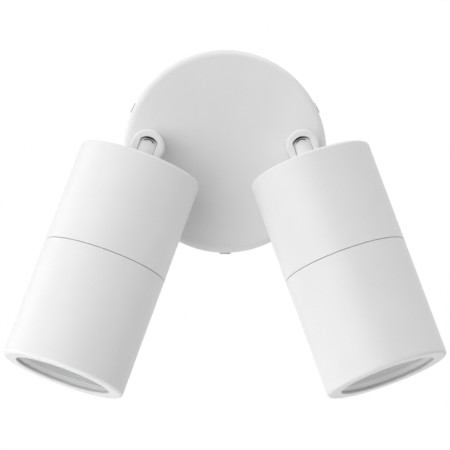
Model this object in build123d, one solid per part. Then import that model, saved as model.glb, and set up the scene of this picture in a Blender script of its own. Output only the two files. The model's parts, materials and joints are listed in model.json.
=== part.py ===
from build123d import *

import os
from math import asin, cos, degrees, radians, sqrt, tan

# Twin pivoting spotlight for a wall, in millimetres. The wall is the plane Y = 0, the light stands out of it
# towards -Y, +Z is up, and the origin is the centre of the cable entry in the wall bracket.
#
# Every piece is built in one of three local frames, and the frames at the end of the sizes place it:
#   base frame  z = 0 on the wall, z out of the wall, y up
#   post frame  z = 0 on the pivot axis, z out of the wall, the head hangs towards -y, pivot screws along x
#   head frame  z = 0 on the pivot axis, z along the head's axis towards the light, pivot screws along x

# ---- fits ------------------------------------------------------------------------------------------------
RUNNING = 0.05  # radial clearance of a shaft, pin or screw in its hole
LOOSE = 0.3  # clearance beside pieces that don't guide each other
GROOVE = 1.3  # width of an O-ring's groove, over the ring's own section

# ---- screw heads: size of the cross recess over the head's radius -----------------------------------------
RECESS_SPAN = 1.1
RECESS_WIDTH = 0.25
RECESS_FLOOR = 0.45  # floor of the recess, over the head's height

# ---- backplate -------------------------------------------------------------------------------------------
PLATE_R = 50.0  # outer radius
PLATE_DEPTH = 21.0  # wall to front face
PLATE_FACE = 2.5  # thickness of the front face
PLATE_RIM = 2.5  # thickness of the rim
PLATE_EDGE = 3.2  # rounding of the front edge
GASKET_T = 1.0  # wall gasket under the rim
GASKET_W = 2.0

# ---- side screws through the rim -------------------------------------------------------------------------
SIDE_SCREW_ANGLES = (25.5, 154.5, 270.0)  # degrees round the plate, from +X
SIDE_SCREW_Z = 10.0  # height of their axes above the wall
SIDE_SCREW_R = 1.95  # shank
SIDE_HEAD_R = 2.95  # head, at its foot
SIDE_HEAD_TOP_R = 2.4  # head, at its top
SIDE_HEAD_PROUD = 0.7  # how far the head stands out of the rim
SPOT_DEPTH = 0.3  # flat seat cut into the rim under each head
SIDE_SCREW_LENGTH = 8.0

# ---- wall bracket ----------------------------------------------------------------------------------------
SHEET = 1.5  # steel sheet
BEND = 1.2  # rounding of its outer bends
TAB_W = 10.0
TAB_GAP = 0.25  # corners of the tabs to the inside of the rim
TAB_OVER = 4.0  # tab's height above the side screws
BRACKET_GAP = 3.5  # edge of the disc to the inside of the rim
WALL_SLOT_X = 25.4  # centre of each wall screw slot from the cable entry
WALL_SLOT_LENGTH = 12.0
WALL_SLOT_R = 2.2
EARTH_Y = -24.0  # earth screw below the cable entry
EARTH_R = 1.95
EARTH_HEAD_R = 3.6
EARTH_HEAD = 2.4
EARTH_SADDLE_R = 4.4
EARTH_SADDLE = 1.0

# ---- cable grommet ---------------------------------------------------------------------------------------
CABLE_R = 4.0  # hole for the supply cable
GROMMET_R = 6.5  # where it sits in the bracket
GROMMET_FLANGE_R = 8.5
GROMMET_FLANGE = 1.5
GROMMET_NOSE = 4.0

# ---- terminal block --------------------------------------------------------------------------------------
BLOCK_Y = 22.5  # centre of the block above the cable entry
BLOCK_LENGTH = 29.0
BLOCK_WIDTH = 13.0
BLOCK_HEIGHT = 13.0
POLE_PITCH = 9.0
POLE_BORE = 1.8  # wire holes
POLE_UP = 4.55  # wire holes above the block's foot
CLAMP_R = 1.9  # clamping screws
CLAMP_LENGTH = 5.0
CLAMP_SLOT = 0.7  # width of their driver slots
CLAMP_SPREAD = 3.4  # each clamping screw from the block's middle
BLOCK_SCREW_R = 1.3
BLOCK_SCREW_HEAD_R = 2.2
BLOCK_SCREW_HEAD = 1.6
BLOCK_FLOOR = 4.0  # plastic under the heads of the block's own screws
BLOCK_EDGE = 1.0

# ---- posts -----------------------------------------------------------------------------------------------
POST_INSET = 12.5  # post axis from the plate's outer edge
POST_UP = 1.9  # post axes above the plate's centre
POST_R = 8.0
POST_EDGE = 1.3  # rounding of the post's end
KNUCKLE_EDGE = 0.3  # rounding of the slot's edges in the end face
KNUCKLE_SLOT = 8.5  # width of the slot that the stem swings in
BORE_SHIFT = 0.7  # centre of the slot's round end, from the pivot axis towards the head
KNUCKLE_TOP = 4.1  # pivot axis to the post's end face
NECK_R = 4.95  # hollow threaded neck, M10
NECK_BORE = 3.0
NECK_FLAT = 4.45  # neck axis to each of its two flats
NECK_PROUD = 1.0  # neck beyond its nut
PLATE_TO_HEAD = 1.25  # plate to the head, when the head lies along the wall

# ---- swivel: bush, O-ring, stop washer, spring, nut ------------------------------------------------------
BUSH_WALL = 1.0
BUSH_FLANGE = 0.6
BUSH_FLANGE_R = 7.6
NECK_RING = 0.4  # section radius of the O-ring in the neck's groove
STOP_T = 1.2  # stop washer
STOP_R = 7.2
STOP_TAB_R = 9.0
STOP_TAB_W = 3.0
STOP_AIR = 1.5  # degrees left between the tab and the rib at either limit
SWIVEL_SPRING_R = 6.8
SWIVEL_SPRING = 1.2  # height of the disc spring
SPRING_T = 0.4  # sheet of both disc springs
NECK_NUT_FLATS = 14.0
NECK_NUT = 3.0

# ---- friction cup and its spring -------------------------------------------------------------------------
CUP_RIM = 1.7  # pivot axis down to the cup's rim
CUP_BASE = 6.5  # pivot axis down to the cup's underside
CUP_BORE = 2.0  # wire hole
CUP_SPRING = 1.5  # height of the disc spring under the cup
CUP_SPRING_R = 4.0
CUP_SPRING_BORE = 2.6

# ---- pivot screws ----------------------------------------------------------------------------------------
PIVOT_R = 1.45
PIVOT_TIP_R = 1.2
PIVOT_SUNK = 0.3  # outer end below the post's surface
PIVOT_BITE = 1.2  # depth of the tip in the stem's side
PIVOT_SLOT = 0.6

# ---- stem ------------------------------------------------------------------------------------------------
STEM_CROWN = 3.85  # its axis to the middle of the two crowned faces
CROWN_R = 8.3  # radius of those faces
STEM_EDGE = 0.7  # rounding of its long edges
STEM_BORE = 1.9
CREASE_R = 2.7  # middle of the crescent groove on the round end, on the side away from the wall
CREASE_W = 0.5
CREASE_DEPTH = 0.4
CREASE_SPAN = 50.0  # degrees to each side of the stem's end
TAIL_R = 2.95  # threaded tail, M6
TAIL_PROUD = 1.5
TAIL_WASHER = 0.8
TAIL_WASHER_R = 5.6
TAIL_NUT_FLATS = 10.0
TAIL_NUT = 3.0
LEAD_R = 1.3  # sleeved lead
LEAD_SWING = 13.0  # where the lead behind the backplate turns towards the terminal block
LEAD_TAIL = 8.0  # its straight run up to the block
LEAD_ENTRY = 3.0  # how far a lead's end reaches into a bore
LEAD_BEND = 0.45  # share of a straight run that the bend at its end takes

# ---- lamp and lampholder, standard twist-lock pair -------------------------------------------------------
LAMP_R = 25.0
LAMP_LENGTH = 50.0  # base to the front of the lens
LAMP_NECK_R = 12.5
LAMP_NECK = 10.0
LAMP_RIM = 5.0  # straight rim round the lens
LAMP_FLARE = 0.62  # how far out the flared body is at half its height, from neck to rim
LENS_INSET = 1.4  # edge of the lens inside the lamp's rim
LENS_PROUD = 0.5
LENS_EDGE = 0.35
PIN_SPREAD = 5.0  # each pin from the lamp's axis
PIN_R = 2.4
PIN_NECK_R = 1.6
PIN_LENGTH = 6.0
PIN_HEAD = 2.0
HOLDER_R = 13.5
HOLDER_LENGTH = 17.0
HOLDER_SCREW_X = 9.3
HOLDER_EDGE = 1.0

# ---- heads -----------------------------------------------------------------------------------------------
LAMP_CLEAR = 1.05  # lamp to the spigot round it
SPIGOT_WALL = 2.1  # spigot of the rear shell, inside the front shell
SKIRT_WALL = 2.05  # front shell where it covers the spigot
HEAD_WALL = 2.5
BACK_WALL = 3.0
HEAD_GAP = 1.8  # post's side to the head's back
REAR_LENGTH = 50.5
FRONT_LENGTH = 59.2
SEAM = 0.3  # gap between the two shells
BACK_EDGE = 1.5  # rounding of the back edge
FRONT_EDGE = 1.7  # rounding of the front edge
SPIGOT_LENGTH = 7.0  # beyond the rear shell's end face
SPIGOT_ROOT = 6.0  # thick root inside the rear shell
SPIGOT_AIR = 1.0  # spigot's end to the skirt's step
SEAL_RING = 0.65  # section radius of the O-ring round the spigot
SEAL_OFFSET = 3.0  # O-ring from the rear shell's end face

# ---- front glass -----------------------------------------------------------------------------------------
LIP = 1.2  # thickness of the front lip
LIP_REACH = 4.25  # how far the lip reaches in from the shell's inside
GLASS_T = 3.0
GLASS_GAP = 0.6  # glass to the inside of the shell
GLASS_GASKET = 0.5
LAMP_TO_GLASS = 2.0
CLIP_T = 1.2  # spring ring that holds the glass
CLIP_GROOVE = 0.6  # depth of its groove in the shell
CLIP_WIDTH = 2.2
CLIP_OPEN = 20.0  # degrees, the ring's open ends

# ---- lampholder bracket ----------------------------------------------------------------------------------
STRAP_T = 1.2
STRAP_W = 12.0
STRAP_LEG_X = 14.0  # outer face of each leg from the head's axis
STRAP_FOOT = 9.0
BOSS_R = 3.5
BOSS_HEIGHT = 4.0
SMALL_SCREW_R = 1.45  # M3 screws
SMALL_HEAD_R = 2.7
SMALL_HEAD = 1.8
SMALL_LENGTH = 4.5

# ---- pose and travel, in degrees -------------------------------------------------------------------------
SPLAY = 20.0  # each head leans outward from straight down
TILT = 11.7  # each head leans out from the wall
SWIVEL_IN = 40.0  # swivel inward from the photographed pose
SWIVEL_OUT = 180.0  # swivel outward and up

# ---- places that follow from the sizes -------------------------------------------------------------------
CAVITY_R = PLATE_R - PLATE_RIM
FACE_IN = PLATE_DEPTH - PLATE_FACE
SPOT_FLOOR = PLATE_R - SPOT_DEPTH
TAB_FACE = sqrt((CAVITY_R - TAB_GAP) ** 2 - (TAB_W / 2) ** 2)
BRACKET_R = CAVITY_R - BRACKET_GAP
SEAT = SHEET  # inner face of the bracket, in the base frame

POST_X = PLATE_R - POST_INSET
BUSH_R = NECK_R + RUNNING + BUSH_WALL

SPIGOT_R = LAMP_R + LAMP_CLEAR + SPIGOT_WALL
HEAD_R = SPIGOT_R + RUNNING + SKIRT_WALL
SHELL_BORE = HEAD_R - HEAD_WALL
APERTURE_R = SHELL_BORE - LIP_REACH
LENS_R = LAMP_R - LENS_INSET

PIVOT_OUT = PLATE_DEPTH + PLATE_TO_HEAD + HEAD_R  # pivot axes from the wall
SHOULDER = PLATE_DEPTH + BUSH_FLANGE - PIVOT_OUT  # post frame from here
INSIDE = FACE_IN - PIVOT_OUT
NECK_RING_Z = (SHOULDER + INSIDE) / 2  # halfway down the bush
STOP_LOW = INSIDE - STOP_T
SPRING_LOW = STOP_LOW - SWIVEL_SPRING
NUT_LOW = SPRING_LOW - NECK_NUT
NECK_END = NUT_LOW - NECK_PROUD
KNUCKLE_FLOOR = CUP_BASE + CUP_SPRING

STEM_HALF = KNUCKLE_SLOT / 2 - RUNNING  # half its width
CROWN_DROP = CROWN_R - STEM_CROWN
EDGE_X = STEM_HALF - STEM_EDGE
EDGE_Y = sqrt((CROWN_R - STEM_EDGE) ** 2 - EDGE_X**2) - CROWN_DROP
BORE_EDGE = STEM_EDGE + RUNNING
BORE_R = sqrt(EDGE_X**2 + (EDGE_Y + BORE_SHIFT) ** 2) + BORE_EDGE  # round end, clear of the stem's edges
SLOT_FLOOR = STEM_CROWN + LOOSE

BACK = POST_R + HEAD_GAP  # head frame from here
BACK_IN = BACK + BACK_WALL
REAR_END = BACK + REAR_LENGTH
FRONT_START = REAR_END + SEAM
FRONT_END = FRONT_START + FRONT_LENGTH
SPIGOT_END = REAR_END + SPIGOT_LENGTH
SEAM_RING_Z = REAR_END + SEAL_OFFSET
SKIRT_END = SPIGOT_END + SPIGOT_AIR
LIP_IN = FRONT_END - LIP
GLASS_OUT = LIP_IN - GLASS_GASKET
GLASS_IN = GLASS_OUT - GLASS_T
CLIP_IN = GLASS_IN - CLIP_T
GLASS_R = SHELL_BORE - GLASS_GAP
LAMP_FRONT = GLASS_IN - LAMP_TO_GLASS
LAMP_BASE = LAMP_FRONT - LAMP_LENGTH
HOLDER_BACK = LAMP_BASE - HOLDER_LENGTH
STRAP_WEB = HOLDER_BACK - STRAP_T
FOOT_SEAT = BACK_IN + BOSS_HEIGHT
BOSS_X = STRAP_LEG_X + STRAP_FOOT / 2
TAIL_NUT_LOW = BACK_IN + TAIL_WASHER
TAIL_END = TAIL_NUT_LOW + TAIL_NUT + TAIL_PROUD

SIDES = {"left": -1, "right": 1}
WALL_FRAME = Rot(90, 0, 0)  # the base frame's z becomes -Y, its y becomes +Z


def post_frame(side):
    """The post frame of one side, splayed outward as photographed."""
    return WALL_FRAME * Pos(side * POST_X, POST_UP, PIVOT_OUT) * Rot(0, 0, side * SPLAY)


def head_frame(side):
    """The head frame of one side, tilted out from the wall as photographed."""
    return post_frame(side) * Rot(90 - TILT, 0, 0)


# ---- shapes that many pieces use -------------------------------------------------------------------------
def disc(radius, low, high, x=0, y=0):
    """A cylinder along z between two heights."""
    return Pos(x, y, low) * Cylinder(radius, high - low, align=(Align.CENTER, Align.CENTER, Align.MIN))


def ring(outer, inner, low, high):
    """A flat ring about z."""
    return disc(outer, low, high) - disc(inner, low, high)


def block(x_size, y_size, low, high, x=0, y=0):
    """A box between two heights, centred on x and y."""
    return Pos(x, y, low) * Box(x_size, y_size, high - low, align=(Align.CENTER, Align.CENTER, Align.MIN))


def turned(*points):
    """A solid of revolution about z, from its outline as (radius, height) points."""
    outline = Polyline(*[(radius, 0, height) for radius, height in points], close=True)
    return revolve(make_face(outline), Axis.Z)


def rims(shape, radius, height):
    """The circular edges of this radius, round the z axis at this height."""
    circles = shape.edges().filter_by(GeomType.CIRCLE)
    return [e for e in circles if abs(e.radius - radius) < 0.01 and abs(e.arc_center.Z - height) < 0.01]


def hex_nut(flats, bore, low, high):
    """A hexagon nut with both ends chamfered at its corners."""
    corner = flats / sqrt(3)
    bevel = corner - flats / 2
    prism = Pos(0, 0, low) * extrude(RegularPolygon(flats / 2, 6, major_radius=False), high - low)
    blank = chamfer(rims(disc(corner, low, high), corner, low), bevel / 2)
    blank = chamfer(rims(blank, corner, high), bevel / 2)
    return (prism & blank) - disc(bore, low, high)


def disc_spring(foot, bore, low, high):
    """A coned spring washer: its wide edge stands on low, its narrow edge reaches high."""
    return turned((foot, low), (foot, low + SPRING_T), (bore, high), (bore, high - SPRING_T))


def cross_recess(head, low, high):
    """The cross cut into a screw head of this radius."""
    arm = block(head * RECESS_SPAN, head * RECESS_WIDTH, low, high)
    return arm + Rot(0, 0, 90) * arm


def pan_screw(head, head_height, shank, length):
    """A pan head with a cross recess above z = 0, and its shank below."""
    floor = head_height * RECESS_FLOOR
    top = fillet(rims(disc(head, 0, head_height), head, head_height), floor)
    return top - cross_recess(head, floor, head_height) + disc(shank, -length, 0)


def stem_outline(inset):
    """The stem's section, smaller by the inset: two crowned faces, two flat sides, rounded edges."""
    crowned = Pos(0, -CROWN_DROP) * Circle(CROWN_R - inset) & Pos(0, CROWN_DROP) * Circle(CROWN_R - inset)
    outline = crowned & Rectangle(2 * (STEM_HALF - inset), 2 * CROWN_R)
    return fillet(outline.vertices(), STEM_EDGE - inset)


def round_end(inset):
    """The stem's section turned about the pivot axis."""
    half = stem_outline(inset) & Pos(0, CROWN_R / 2) * Rectangle(2 * CROWN_R, CROWN_R)
    return revolve(half, Axis.X)


def knuckle_bore(air, low, high):
    """The inside of the knuckle, smaller all round by the air: flat beside the stem, round beyond its end."""
    outline = Pos(0, -BORE_SHIFT) * Circle(BORE_R - air) & Rectangle(KNUCKLE_SLOT - 2 * air, 4 * BORE_R)
    return Pos(0, 0, low) * extrude(fillet(outline.vertices(), BORE_EDGE - air), high - low)


def radial(angle):
    """Frame of a side screw: z runs outward through the rim at this angle."""
    return Rot(0, 0, angle) * Pos(0, 0, SIDE_SCREW_Z) * Rot(0, 90, 0)


# ---- base: backplate, bracket and wiring, in the base frame ----------------------------------------------
def stop_rib(side):
    """The arc on the inside of the face that ends the swivel: the washer's tab runs between its two ends."""
    tab_half = degrees(asin(STOP_TAB_W / 2 / (STOP_R + LOOSE)))
    half = (360 - SWIVEL_IN - SWIVEL_OUT) / 2 - tab_half - STOP_AIR
    middle = 90 + side * (SPLAY + (SWIVEL_OUT - SWIVEL_IN) / 2)
    low = FACE_IN - STOP_T - LOOSE
    outline = Polyline(
        (STOP_R + LOOSE, 0, low),
        (STOP_TAB_R, 0, low),
        (STOP_TAB_R, 0, FACE_IN),
        (STOP_R + LOOSE, 0, FACE_IN),
        close=True,
    )
    arc = revolve(make_face(outline), Axis.Z, revolution_arc=2 * half)
    return Pos(side * POST_X, POST_UP, 0) * Rot(0, 0, middle - half) * arc


def backplate():
    """Round cup with a rounded front edge, holes for the posts' bushes and spot-faced side screw holes."""
    body = disc(PLATE_R, GASKET_T, PLATE_DEPTH)
    body = fillet(rims(body, PLATE_R, PLATE_DEPTH), PLATE_EDGE)
    body -= disc(CAVITY_R, GASKET_T, FACE_IN)
    for side in SIDES.values():
        body += stop_rib(side)
        body -= disc(BUSH_R + RUNNING, FACE_IN, PLATE_DEPTH, side * POST_X, POST_UP)
    for angle in SIDE_SCREW_ANGLES:
        body -= radial(angle) * disc(SIDE_SCREW_R + LOOSE, CAVITY_R - PLATE_RIM, PLATE_R)
        body -= radial(angle) * disc(SIDE_HEAD_R + LOOSE, SPOT_FLOOR, PLATE_R + PLATE_RIM)
    return body


def wall_gasket():
    """Flat foam ring between the rim and the wall."""
    middle = PLATE_R - PLATE_RIM / 2
    return ring(middle + GASKET_W / 2, middle - GASKET_W / 2, 0, GASKET_T)


def side_screw(angle):
    """Low coned head on the rim's spot face, cross recess, shank into the bracket's tab."""
    high = PLATE_R + SIDE_HEAD_PROUD
    head = turned(
        (0, SPOT_FLOOR),
        (SIDE_HEAD_R, SPOT_FLOOR),
        (SIDE_HEAD_R, PLATE_R),
        (SIDE_HEAD_TOP_R, high),
        (0, high),
    )
    head -= cross_recess(SIDE_HEAD_TOP_R, PLATE_R, high)
    return radial(angle) * (head + disc(SIDE_SCREW_R, SPOT_FLOOR - SIDE_SCREW_LENGTH, SPOT_FLOOR))


def bracket_tab(angle):
    """One tab of the bracket, bent up from a foot at the disc's edge."""
    foot_start = BRACKET_R - TAB_W
    tab_top = SIDE_SCREW_Z + TAB_OVER
    foot = block(TAB_FACE - foot_start, TAB_W, 0, SHEET, x=(TAB_FACE + foot_start) / 2)
    upright = block(SHEET, TAB_W, 0, tab_top, x=TAB_FACE - SHEET / 2)
    tab = foot + upright
    outer_bend = tab.edges().filter_by(Axis.Y).sort_by_distance((TAB_FACE, 0, 0))[0]
    tab = fillet(outer_bend, BEND)
    return Rot(0, 0, angle) * tab


def wall_bracket():
    """Steel disc on the wall: cable hole, two wall screw slots, earth and block screw holes, three tabs."""
    body = disc(BRACKET_R, 0, SHEET)
    for angle in SIDE_SCREW_ANGLES:
        body += bracket_tab(angle)
        body -= radial(angle) * disc(SIDE_SCREW_R + RUNNING, TAB_FACE - 2 * SHEET, PLATE_R)
    body -= disc(GROMMET_R + RUNNING, 0, SHEET)
    body -= disc(EARTH_R + RUNNING, 0, SHEET, y=EARTH_Y)
    slot = extrude(SlotOverall(WALL_SLOT_LENGTH, 2 * WALL_SLOT_R), SHEET)
    for side in SIDES.values():
        body -= Pos(side * WALL_SLOT_X, 0, 0) * slot
        body -= disc(BLOCK_SCREW_R + RUNNING, 0, SHEET, side * POLE_PITCH / 2, BLOCK_Y)
    return body


def cable_grommet():
    """Rubber grommet in the bracket, with a tapered nose round the supply cable."""
    flange_top = SEAT + GROMMET_FLANGE
    return turned(
        (CABLE_R, 0),
        (GROMMET_R, 0),
        (GROMMET_R, SEAT),
        (GROMMET_FLANGE_R, SEAT),
        (GROMMET_FLANGE_R, flange_top),
        (GROMMET_R, flange_top),
        ((CABLE_R + GROMMET_R) / 2, flange_top + GROMMET_NOSE),
        (CABLE_R, flange_top + GROMMET_NOSE),
    )


def terminal_block():
    """Three-pole block: a wire hole right through each pole and a screw well at each end of it."""
    top = SEAT + BLOCK_HEIGHT
    bore_z = SEAT + POLE_UP
    body = block(BLOCK_LENGTH, BLOCK_WIDTH, SEAT, top)
    body = fillet(body.edges().filter_by(Axis.Z), BLOCK_EDGE)
    for pole in (-1, 0, 1):
        x = pole * POLE_PITCH
        body -= Pos(x, BLOCK_WIDTH / 2, bore_z) * Rot(90, 0, 0) * disc(POLE_BORE, 0, BLOCK_WIDTH)
        for end in (-1, 1):
            body -= disc(CLAMP_R + RUNNING, bore_z, top, x, end * CLAMP_SPREAD)
    for side in SIDES.values():
        x = side * POLE_PITCH / 2
        body -= disc(BLOCK_SCREW_R + RUNNING, SEAT, top, x)
        body -= disc(BLOCK_SCREW_HEAD_R + RUNNING, SEAT + BLOCK_FLOOR, top, x)
    return Pos(0, BLOCK_Y, 0) * body


def clamp_screw(pole, end):
    """A slotted clamping screw standing in its well, its point at the wire hole."""
    low = SEAT + POLE_UP + POLE_BORE
    high = low + CLAMP_LENGTH
    screw = disc(CLAMP_R, low, high) - block(2 * CLAMP_R, CLAMP_SLOT, high - CLAMP_SLOT, high)
    return Pos(pole * POLE_PITCH, BLOCK_Y + end * CLAMP_SPREAD, 0) * screw


def block_screw(side):
    """A screw through the terminal block into the bracket."""
    screw = pan_screw(BLOCK_SCREW_HEAD_R, BLOCK_SCREW_HEAD, BLOCK_SCREW_R, BLOCK_FLOOR + SHEET)
    return Pos(side * POLE_PITCH / 2, BLOCK_Y, SEAT + BLOCK_FLOOR) * screw


def earth_screw():
    """Brass earth screw with its captive saddle washer on the bracket."""
    screw = pan_screw(EARTH_HEAD_R, EARTH_HEAD, EARTH_R, EARTH_SADDLE + SHEET)
    saddle = ring(EARTH_SADDLE_R, EARTH_R / 2, -EARTH_SADDLE, 0)
    return Pos(0, EARTH_Y, SEAT + EARTH_SADDLE) * (screw + saddle)


def swivel_bush(side):
    """Flanged bush that a post turns in."""
    bush = turned(
        (NECK_R + RUNNING, FACE_IN),
        (BUSH_R, FACE_IN),
        (BUSH_R, PLATE_DEPTH),
        (BUSH_FLANGE_R, PLATE_DEPTH),
        (BUSH_FLANGE_R, PLATE_DEPTH + BUSH_FLANGE),
        (NECK_R + RUNNING, PLATE_DEPTH + BUSH_FLANGE),
    )
    return Pos(side * POST_X, POST_UP, 0) * bush


def canopy_lead(side):
    """Sleeved lead from a wire hole of the terminal block into the hollow neck of a post."""
    height = SEAT + POLE_UP
    block_side = BLOCK_Y - BLOCK_WIDTH / 2
    neck_mouth = NECK_END + PIVOT_OUT
    points = [
        (POST_X, POST_UP, neck_mouth + LEAD_ENTRY),
        (POST_X, POST_UP, height),
        (POLE_PITCH + LEAD_SWING, POST_UP + LEAD_SWING / 3, height),
        (POLE_PITCH, block_side - LEAD_TAIL, height),
        (POLE_PITCH, block_side + LEAD_ENTRY, height),
    ]
    points = [Vector(side * x, y, z) for x, y, z in points]
    runs = [after - before for before, after in zip(points, points[1:])]
    radii = []
    for run, after in zip(runs, runs[1:]):
        shorter = min(run.length, after.length)
        radii.append(LEAD_BEND * shorter / tan(radians(run.get_angle(after) / 2)))
    path = FilletPolyline(*points, radius=radii)
    print("canopy lead bend radii", [round(radius, 1) for radius in radii], "length", round(path.length, 1))
    return sweep(Plane(path @ 0, z_dir=path % 0) * Circle(LEAD_R), path=path)


# ---- post and what turns with it, in the post frame ------------------------------------------------------
def post():
    """Hollow post: slotted knuckle at its end, shoulder on the bush, threaded neck with two flats."""
    body = disc(POST_R, SHOULDER, KNUCKLE_TOP)
    body = fillet(rims(body, POST_R, KNUCKLE_TOP), POST_EDGE)
    body += disc(NECK_R, NECK_END, SHOULDER)
    body -= knuckle_bore(0, -KNUCKLE_FLOOR, KNUCKLE_TOP)
    body -= disc(NECK_BORE, NECK_END, -KNUCKLE_FLOOR)
    body -= block(KNUCKLE_SLOT, 2 * POST_R, -SLOT_FLOOR, 2 * KNUCKLE_TOP, y=-POST_R)
    end_face = body.faces().sort_by(Axis.Z)[-1]
    outline = rims(end_face, POST_R - POST_EDGE, KNUCKLE_TOP)
    body = fillet([e for e in end_face.edges() if e not in outline], KNUCKLE_EDGE)
    body -= Pos(-2 * POST_R, 0, 0) * Rot(0, 90, 0) * disc(PIVOT_R + RUNNING, 0, 4 * POST_R)
    groove = NECK_R - 2 * NECK_RING - RUNNING
    half = GROOVE * NECK_RING
    body -= ring(2 * NECK_R, groove, NECK_RING_Z - half, NECK_RING_Z + half)
    for end in (-1, 1):
        body -= block(2 * NECK_R, NECK_R, NECK_END, INSIDE, y=end * (NECK_FLAT + NECK_R / 2))
    return body


def neck_ring():
    """O-ring in the neck's groove, inside the bush."""
    return Pos(0, 0, NECK_RING_Z) * Torus(NECK_R - NECK_RING, NECK_RING)


def stop_washer():
    """Washer keyed to the neck's flats, with the tab that ends the swivel."""
    body = ring(STOP_R, NECK_R + RUNNING, STOP_LOW, INSIDE)
    for end in (-1, 1):
        y = end * (NECK_FLAT + RUNNING + (STOP_R - NECK_FLAT) / 4)
        body += block(NECK_R, (STOP_R - NECK_FLAT) / 2, STOP_LOW, INSIDE, y=y)
    reach = STOP_TAB_R - (NECK_R + STOP_R) / 2
    body += block(STOP_TAB_W, reach, STOP_LOW, INSIDE, y=-(STOP_TAB_R - reach / 2))
    return body


def ball_cup():
    """Friction cup under the stem's round end, cut away where the stem lies, with a hole for the lead."""
    body = knuckle_bore(2 * RUNNING, -CUP_BASE, -CUP_RIM)
    body -= round_end(-RUNNING)
    body -= disc(CUP_BORE, -CUP_BASE, -CUP_RIM)
    body -= block(KNUCKLE_SLOT, 4 * BORE_R, -SLOT_FLOOR, 0, y=-2 * BORE_R)
    return body


def pivot_screw(side):
    """Grub screw through the knuckle's wall, its thin tip in the side of the stem."""
    outer = POST_R - PIVOT_SUNK
    shoulder = KNUCKLE_SLOT / 2
    body = disc(PIVOT_R, shoulder, outer) + disc(PIVOT_TIP_R, STEM_HALF - PIVOT_BITE, shoulder)
    body -= block(PIVOT_SLOT, 2 * PIVOT_R, outer - 2 * PIVOT_SLOT, outer)
    return Rot(0, side * 90, 0) * body


# ---- head and front, in the head frame -------------------------------------------------------------------
def crease():
    """The crescent cut into the round end of the stem."""
    trench = ring(CREASE_R + CREASE_W / 2, CREASE_R - CREASE_W / 2, 0, STEM_CROWN)
    start = CREASE_R * cos(radians(CREASE_SPAN))
    crescent = trench & block(2 * STEM_HALF, CROWN_R, 0, STEM_CROWN, y=start + CROWN_R / 2)
    return Rot(-90, 0, 0) * crescent - round_end(CREASE_DEPTH)


def stem():
    """Round-ended stem: sockets for the pivot screws, lead opening on the wall side, hollow threaded tail."""
    body = round_end(0) + extrude(stem_outline(0), BACK) + disc(TAIL_R, BACK, TAIL_END)
    body -= disc(STEM_BORE, 0, TAIL_END)
    body -= Sphere(STEM_BORE)
    body -= Rot(90, 0, 0) * disc(STEM_BORE, 0, 2 * STEM_CROWN)
    body -= block(2 * STEM_BORE, 2 * STEM_CROWN, -2 * STEM_CROWN, 0, y=-STEM_CROWN)
    for side in SIDES.values():
        socket = STEM_HALF - PIVOT_BITE - RUNNING
        body -= Rot(0, side * 90, 0) * disc(PIVOT_TIP_R + RUNNING, socket, 2 * STEM_HALF)
    return body - crease()


def rear_shell():
    """Closed back, thin wall, spigot with an O-ring groove, and two bosses for the lampholder bracket."""
    body = disc(HEAD_R, BACK, REAR_END)
    body = fillet(rims(body, HEAD_R, BACK), BACK_EDGE)
    body -= disc(SHELL_BORE, BACK_IN, REAR_END - SPIGOT_ROOT)
    body += disc(SPIGOT_R, REAR_END, SPIGOT_END)
    body -= disc(SPIGOT_R - SPIGOT_WALL, BACK_IN, SPIGOT_END)
    groove = SPIGOT_R - 2 * SEAL_RING - RUNNING
    half = GROOVE * SEAL_RING
    body -= ring(SPIGOT_R, groove, SEAM_RING_Z - half, SEAM_RING_Z + half)
    for side in SIDES.values():
        body += disc(BOSS_R, BACK_IN, FOOT_SEAT, side * BOSS_X)
        body -= disc(SMALL_SCREW_R + RUNNING, BACK_IN, FOOT_SEAT, side * BOSS_X)
    body -= disc(TAIL_R + RUNNING, BACK, BACK_IN)
    return body


def seam_ring():
    """O-ring in the spigot's groove."""
    return Pos(0, 0, SEAM_RING_Z) * Torus(SPIGOT_R - SEAL_RING, SEAL_RING)


def front_shell():
    """Tube with a skirt over the spigot, a groove for the spring ring and a narrow lip at the front."""
    body = disc(HEAD_R, FRONT_START, FRONT_END)
    body = fillet(rims(body, HEAD_R, FRONT_END), FRONT_EDGE)
    body -= disc(SPIGOT_R + RUNNING, FRONT_START, SKIRT_END)
    body -= disc(SHELL_BORE, SKIRT_END, LIP_IN)
    body -= disc(APERTURE_R, LIP_IN, FRONT_END)
    body -= ring(SHELL_BORE + CLIP_GROOVE, APERTURE_R, CLIP_IN - RUNNING, GLASS_IN)
    return body


def glass_clip():
    """Open spring ring behind the glass, its two ends on the side away from the wall."""
    outer = SHELL_BORE + CLIP_GROOVE - RUNNING
    outline = Polyline(
        (outer - CLIP_WIDTH, 0, CLIP_IN),
        (outer, 0, CLIP_IN),
        (outer, 0, GLASS_IN),
        (outer - CLIP_WIDTH, 0, GLASS_IN),
        close=True,
    )
    return Rot(0, 0, 90 + CLIP_OPEN / 2) * revolve(make_face(outline), Axis.Z, revolution_arc=360 - CLIP_OPEN)


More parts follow.
